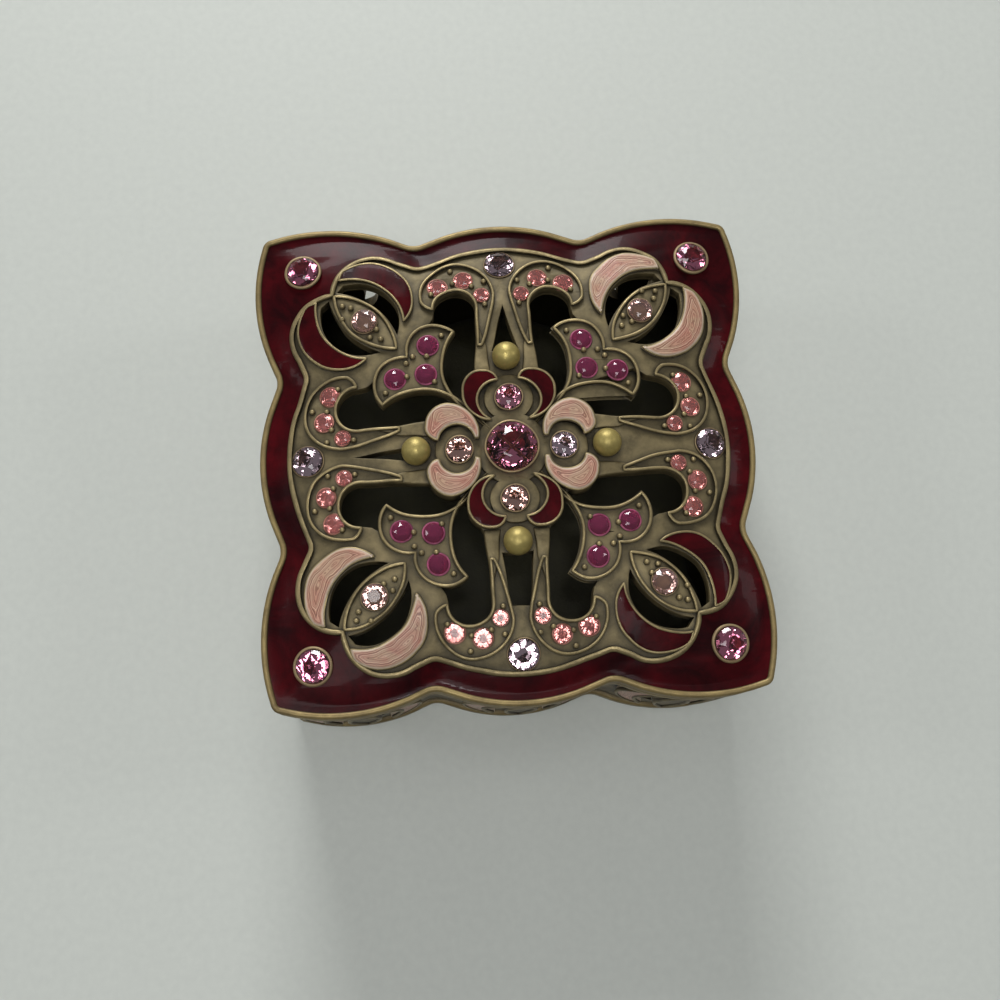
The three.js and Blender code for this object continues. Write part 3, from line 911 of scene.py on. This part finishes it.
def addLidWires():
    top = lidSizes["wireTop"]
    parts = [
        wiresAlong("fieldWire", [fieldOutline], top, wirePlan["field"]),
        wiresAlong("motifWires", commas + copies(fishtail) + copies(leaf), top,
                   wirePlan["motif"]),
        wiresAlong("petalWires", [loop for petal in petals for loop in copies(petal)], top,
                   wirePlan["petal"]),
    ]
    solidParts = []
    for i in range(4):
        for petal in petals:
            solidParts.append(slab("cellFloor", [inset(turned(petal, i), 0.08)],
                                   *wirePlan["cellFloor"], 0.05))
        for bar in (armBar, mirrored(armBar)):
            solidParts.append(slab("armBar", [turned(bar, i)], wirePlan["barBottom"],
                                   top - wirePlan["barDrop"], 0.2))
        hole = circle(*turned([stonePlan["leafPlace"]], i)[0], wirePlan["leafHole"])
        solidParts.append(slab("leafBed", [inset(turned(leaf, i), 0.2), hole],
                               *wirePlan["leafBed"], 0.2))
    for part in solidParts:
        crossCut(part, lidSizes["webCut"])
    web = domed(joinedAs("lidWires", parts + solidParts))
    smoothed(web, 50)
    setFinish(web, castBrass)
    finishPiece(web, "antique_brass", "lid")


addLidWires()
print("lid wires laid")


# Disc and collars: outer radius, radius of the hole and steps round the edge
flowerPlan = {
    "disc": (4.4, 2.9, 48),
    "collar": (2.9, 1.45, 40),
    "discTop": 2.45,
    "edge": 0.1,
    "cellFloor": (0.1, 2.5),
}


def addFlower():
    rounds = [((0, 0), flowerPlan["disc"])]
    rounds += [(place, flowerPlan["collar"]) for place, in copies([stonePlan["ringPlace"]])]
    parts = [slab("disc", [circle(x, y, radius, steps), circle(x, y, hole)],
                  lidSizes["upperBottom"], flowerPlan["discTop"], flowerPlan["edge"])
             for (x, y), (radius, hole, steps) in rounds]
    for cell in crescents:
        parts.append(slab("crescentFloor", [inset(cell, 0.08)], *flowerPlan["cellFloor"], 0.05))
    for part in parts:
        crossCut(part, lidSizes["webCut"])
    parts.append(wiresAlong("crescentWires", crescents, lidSizes["flowerWireTop"],
                            wirePlan["crescent"]))
    flower = domed(joinedAs("lidFlower", parts))
    smoothed(flower, 50)
    setFinish(flower, flowerBrass)
    finishPiece(flower, "antique_brass", "lid")


addFlower()
print("flower made")

# Beads: the four balls, the granules round the stones and the stones' seats
beadPlan = {
    "ballRadius": 1.7,
    "ballPlace": (0, 11.3),
    "ballLevel": 1.88,
    "ballLift": 0.6,
    "granule": 0.37,
    "levels": {"comma": 1.95, "fishtail": 1.97, "leaf": 2.2},
    "seatLevel": 1.93,
    "seatGap": 0.06,
    "comma": [(2.05, 21.8), (6.1, 23.5), (5.9, 21.7), (3.6, 21.2), (8.6, 20.3), (2.1, 18.6)],
    "fishtail": [(8.7, 8.7), (12.0, 9.5), (9.5, 12.0), (11.2, 12.0), (12.0, 11.2), (14.6, 7.6),
                 (7.6, 14.6)],
    "leaf": [(17.3, 19.5), (19.0, 19.4), (18.7, 18.4), (14.7, 16.2), (15.7, 15.4), (14.4, 14.9)],
}


def addBeads():
    balls, granules = [], []
    for i in range(4):
        x, y = turned([beadPlan["ballPlace"]], i)[0]
        bpy.ops.mesh.primitive_uv_sphere_add(segments=32, ring_count=16, radius=1)
        ball = bpy.context.active_object
        radius = beadPlan["ballRadius"]
        level = beadPlan["ballLevel"] + beadPlan["ballLift"] * radius
        balls.append(copyOf(ball, "ball", x, y, level, radius, relief=3.0))
        bpy.data.objects.remove(ball)
        grains = [(x, y, beadPlan["levels"]["comma"])
                  for x, y in turned(beadPlan["comma"] + mirrored(beadPlan["comma"]), i)]
        for motif in ("fishtail", "leaf"):
            grains += [(x, y, beadPlan["levels"][motif]) for x, y in turned(beadPlan[motif], i)]
        granules += [copyOf(beadPattern, "granule", x, y, level, beadPlan["granule"], relief=2.2)
                     for x, y, level in grains]
    kinds = (("lidBalls", balls, beadBrass), ("lidGranules", granules, castBrass))
    for name, pieces, finish in kinds:
        beads = joinedAs(name, pieces)
        smoothed(beads, 60)
        setFinish(beads, finish)
        finishPiece(beads, "antique_brass", "lid")
    seatKinds = (("shell", shellWax, "pale_crystal"), ("fuchsia", fuchsiaWax, "rose_crystal"))
    for kind, wax, slot in seatKinds:
        gap = beadPlan["seatGap"]
        rims = [copyOf(ringPattern, "seat", x, y, beadPlan["seatLevel"],
                       (size / 2 - gap, size / 2 - gap, 1.0))
                for (x, y), stoneKind, size in smallPlaces if stoneKind == kind]
        seats = joinedAs(kind + "Seats", rims)
        smoothed(seats, 60)
        setFinish(seats, wax)
        finishPiece(seats, slot, "lid")


addBeads()
print("beads and seats added")


# Cream is laid over its cell like icing, burgundy lies level inside the wires
enamelPlan = {
    "depth": 0.9,
    "cream": {"inset": 0.06, "rise": 0.1, "edge": 0.32, "cut": 0.4},
    "burgundy": {"inset": 0.18, "rise": -0.1, "edge": 0.1, "cut": 1.0},
}


def enamelCell(node, outline, top, pale):
    plan = enamelPlan["cream" if pale else "burgundy"]
    cell = slab(node.replace("_enamel", "Enamel"), [inset(outline, plan["inset"])],
                top - enamelPlan["depth"], top + plan["rise"], plan["edge"])
    crossCut(cell, plan["cut"])
    storeEdge(cell, outline)
    domed(cell)
    smoothed(cell, 60)
    setFinish(cell, cream if pale else burgundy)
    finishPiece(cell, "cream_enamel" if pale else "burgundy_enamel", node)


# Bezels: radius of the wire and its rise over the girdle
bezelPlan = {"centre": (0.17, 0.02), "corner": (0.24, 0.1), "ring": (0.12, 0.0),
             "edge": (0.11, 0.0), "leaf": (0.09, -0.02)}


def addBezels():
    parts = []
    for label, (x, y), _, size, level in largePlaces:
        radius, rise = bezelPlan[label.split("_")[0]]
        loop = circle(x, y, size / 2 + radius * 0.7, 36)
        parts.append(wires("bezel", [loop], level + rise, radius))
        if label.startswith("corner"):
            loops = [circle(x, y, size / 2 + 0.3), circle(x, y, size / 2 - 0.05)]
            parts.append(slab("collet", loops, 0.5, level, 0.1))
    bezels = domed(joinedAs("bezels", parts))
    smoothed(bezels, 60)
    setFinish(bezels, bezelBrass)
    finishPiece(bezels, "antique_brass", "lid")


addBezels()
print("bezels set")


def addLidEnamel():
    border = slab("borderEnamel", [
        inset(rimInside, -0.05), inset(fieldOutline, -0.02),
        *[circle(x, y, size / 2 + 0.1) for label, (x, y), _, size, _ in largePlaces
          if label.startswith("corner")]], lidSizes["borderFloor"], lidSizes["borderTop"], 0.02)
    crossCut(border, 1.0)
    domed(border)
    smoothed(border)
    setFinish(border, burgundy)
    finishPiece(border, "burgundy_enamel", "border_enamel")
    for i, corner in enumerate(cornerNames):
        for j, petal in enumerate(petals):
            enamelCell(f"petal_enamel_{corner}_{j + 1}", turned(petal, i), lidSizes["wireTop"],
                       i % 2 == 0)
    for i, side in enumerate(sideNames):
        for j in range(2):
            enamelCell(f"flower_enamel_{side}_{j + 1}", crescents[2 * i + j],
                       lidSizes["flowerWireTop"], i % 2 == 1)


addLidEnamel()
print("enamel laid")

# Body: the wall is drawn unrolled, then wrapped round the outline
bodySizes = {
    "height": 24.0,
    "wallInset": 0.9,
    "wall": 1.5,
    "floor": 1.6,
    "band": 2.0,
    "foot": 2.2,
    "footInset": 0.3,
    "relief": 0.8,
    "cornerLobe": 19.5,
    "cornerX": 28.6,
    "edge": 0.3,
    "overlap": 0.3,
    "motifWidth": 0.95,
    "motifHeight": 12.4,
    "motifMargin": 2.2,
    "wire": 0.25,
    "cellInset": 0.12,
    "cellDrop": 0.2,
    "cellCut": 0.8,
    "leafDrop": 0.3,
    "wallCut": 1.1,
}
bodyOutline = inset(lidOutline, bodySizes["wallInset"])


def measurePath(points):
    closed = np.array(points + points[:1])
    lengths = np.concatenate(([0], np.cumsum(np.linalg.norm(np.diff(closed, axis=0), axis=1))))
    return closed, lengths


wallPath, wallLengths = measurePath(bodyOutline)
perimeter = wallLengths[-1]


def onPath(u):
    u = np.mod(u, perimeter)
    return np.stack([np.interp(u, wallLengths, wallPath[:, axis]) for axis in (0, 1)], -1)


def placeOfX(x):
    # Unrolled place of the back wall's point at x
    nearest = np.argmin(np.hypot(wallPath[:-1, 0] - x, wallPath[:-1, 1] - 29))
    return wallLengths[nearest]


def wrapped(piece):
    places = coordinates(piece)
    storeRelief(piece, places[:, 2].copy())
    base = onPath(places[:, 0])
    ahead, behind = onPath(places[:, 0] + 0.35), onPath(places[:, 0] - 0.35)
    along = ahead - behind
    along /= np.linalg.norm(along, axis=1)[:, None]
    outwards = np.stack([along[:, 1], -along[:, 0]], -1)
    base = base + outwards * places[:, 2:3]
    storeCoordinates(piece, np.column_stack([base, places[:, 1]]))
    return piece


def addBody():
    size = bodySizes
    low, high = size["foot"] - size["overlap"], size["height"] - size["band"] + size["overlap"]
    middle = (size["foot"] + size["height"] - size["band"]) / 2
    heightShare = (high - low - size["motifMargin"]) / size["motifHeight"]
    firstCorner = placeOfX(size["cornerX"]) - perimeter
    quarter = perimeter / 4

    def onWall(points, x):
        # The outline runs the other way from x, so the motif is turned over
        start = placeOfX(x)
        return [(start - u * size["motifWidth"], middle + v * heightShare) for u, v in points]

    motifs = [-size["cornerLobe"], 0, size["cornerLobe"]]
    holes = [onWall(shape, x) for x in motifs for shape in (tulipVoid, mirrored(tulipVoid))]
    sheet = [(firstCorner, low), (firstCorner + quarter, low),
             (firstCorner + quarter, high), (firstCorner, high)]
    outline = trace([(x, y, 0) for x, y in sheet], 1.0)
    wall = slab("wallSheet", [outline, *holes], -size["wall"], 0.0, 0.0)
    leaves = [onWall(tulipLeaf, x)[::-1] for x in motifs]
    petalLoops = [onWall(shape, x)[::-1] for x in motifs
                  for shape in (tulipPetal, mirrored(tulipPetal))]
    cells = []
    for loop in petalLoops:
        cell = slab("wallCell", [inset(loop, size["cellInset"])], -size["overlap"],
                    size["relief"] - size["cellDrop"], 0.1)
        crossCut(cell, size["cellCut"])
        storeEdge(cell, loop)
        cells.append(cell)
    parts = [wall]
    parts += [slab("raised", [loop], -size["overlap"], size["relief"] - size["leafDrop"], 0.15)
              for loop in leaves]
    for part in parts:
        crossCut(part, size["wallCut"], (0,))
    wireLoops = [inset(loop, size["wire"]) for loop in leaves + petalLoops]
    parts.append(wires("wallWires", wireLoops, size["relief"], size["wire"], 1))

    def allRound(name, pieces):
        strips = [joinedAs("wallStrip", pieces)]
        for i in range(1, 4):
            strips.append(bpy.data.objects.new("wallStrip", strips[0].data.copy()))
            bpy.context.collection.objects.link(strips[-1])
            strips[-1].data.transform(Matrix.Translation((i * quarter, 0, 0)))
        return wrapped(joinedAs(name, strips))

    enamel = smoothed(allRound("wallEnamel", cells), 60)
    setFinish(enamel, cream)
    finishPiece(enamel, "cream_enamel", "box_body")
    walls = allRound("bodyWalls", parts)
    smoothed(walls, 45)
    setFinish(walls, wallBrass, insideBrass)
    depths = walls.data.attributes["relief"].data
    for face in walls.data.polygons:
        inwards = face.normal.dot(Vector((*face.center[:2], 0))) < 0
        face.material_index = int(inwards and depths[face.vertices[0]].value < 0.1 - size["wall"])
    finishPiece(walls, "antique_brass", "box_body")
    innerOutline = inset(lidOutline, size["wallInset"] + size["wall"])
    rims = [
        slab("band", [lidOutline, innerOutline], size["height"] - size["band"], size["height"],
             size["edge"]),
        slab("foot", [inset(lidOutline, size["footInset"])], 0.0, size["foot"], size["edge"]),
    ]
    cutOut = slab("inner", [innerOutline], size["floor"], size["floor"] + 3.4, 0)
    selectOnly(rims[1])
    bite = rims[1].modifiers.new("hollow", "BOOLEAN")
    bite.operation = "DIFFERENCE"
    bite.object = cutOut
    bpy.ops.object.modifier_apply(modifier=bite.name)
    bpy.data.objects.remove(cutOut)
    frameRings = joinedAs("bodyRims", rims)
    storeRelief(frameRings, np.full(len(frameRings.data.vertices), 1.9))
    storeCoordinates(frameRings, coordinates(frameRings))
    smoothed(frameRings, 50)
    setFinish(frameRings, rimBrass, insideBrass)
    for face in frameRings.data.polygons:
        centre = face.center / millimetre
        inwards = face.normal.dot(Vector((*face.center[:2], 0)).normalized()) < -0.5
        onFloor = face.normal.z > 0.7 and abs(centre.z - size["floor"]) < 0.1
        face.material_index = int(inwards or onFloor)
    finishPiece(frameRings, "antique_brass", "box_body")


addBody()
for pattern in (stonePattern, ringPattern, beadPattern):
    bpy.data.objects.remove(pattern)
print("body made")

# Floor and light
stageSetup = {
    "floor": linearColour(203, 207, 200),
    "floorFleck": linearColour(192, 196, 190),
    "floorGrain": {"Scale": 900.0, "Detail": 4.0},
    "floorReach": 1.2,
    "world": 0.14,
    "sky": (0.97, 0.99, 1, 1),
    "lights": [
        ("behind", (-0.05, 0.56, 0.31), 0.22, 3.0),
        ("left", (-0.5, 0.08, 0.40), 0.12, 0.3),
        ("right", (0.5, 0.08, 0.40), 0.12, 0.3),
        ("over", (-0.06, -0.14, 0.6), 0.26, 1.2),
        ("glint", (-0.02, -0.05, 0.6), 0.03, 0.22),
    ],
}


def addStage():
    bpy.ops.mesh.primitive_plane_add(size=stageSetup["floorReach"] * 2, location=(0, 0, 0))
    floor = bpy.context.active_object
    floor.name = "floor"
    material, tree, shader = newMaterial("floorPaper", Roughness=0.6)
    place = addNode(tree, "ShaderNodeTexCoord").outputs["Object"]
    grain = addNode(tree, "ShaderNodeTexNoise", **stageSetup["floorGrain"])
    tree.links.new(place, grain.inputs["Vector"])
    tree.links.new(mixColours(tree, grain.outputs["Fac"], stageSetup["floor"],
                              stageSetup["floorFleck"]), shader.inputs["Base Color"])
    setFinish(floor, material)
    for name, place, size, power in stageSetup["lights"]:
        data = bpy.data.lights.new(name, "AREA")
        data.size = size
        data.energy = power
        light = bpy.data.objects.new(name, data)
        bpy.context.collection.objects.link(light)
        light.location = place
        light.rotation_euler = (-Vector(place)).to_track_quat("-Z", "Y").to_euler()
    world = bpy.data.worlds.new("studio")
    world.use_nodes = True
    background = world.node_tree.nodes["Background"]
    background.inputs["Strength"].default_value = stageSetup["world"]
    background.inputs["Color"].default_value = stageSetup["sky"]
    bpy.context.scene.world = world
    bpy.context.scene.view_settings.view_transform = "Standard"


addStage()
print("stage set")
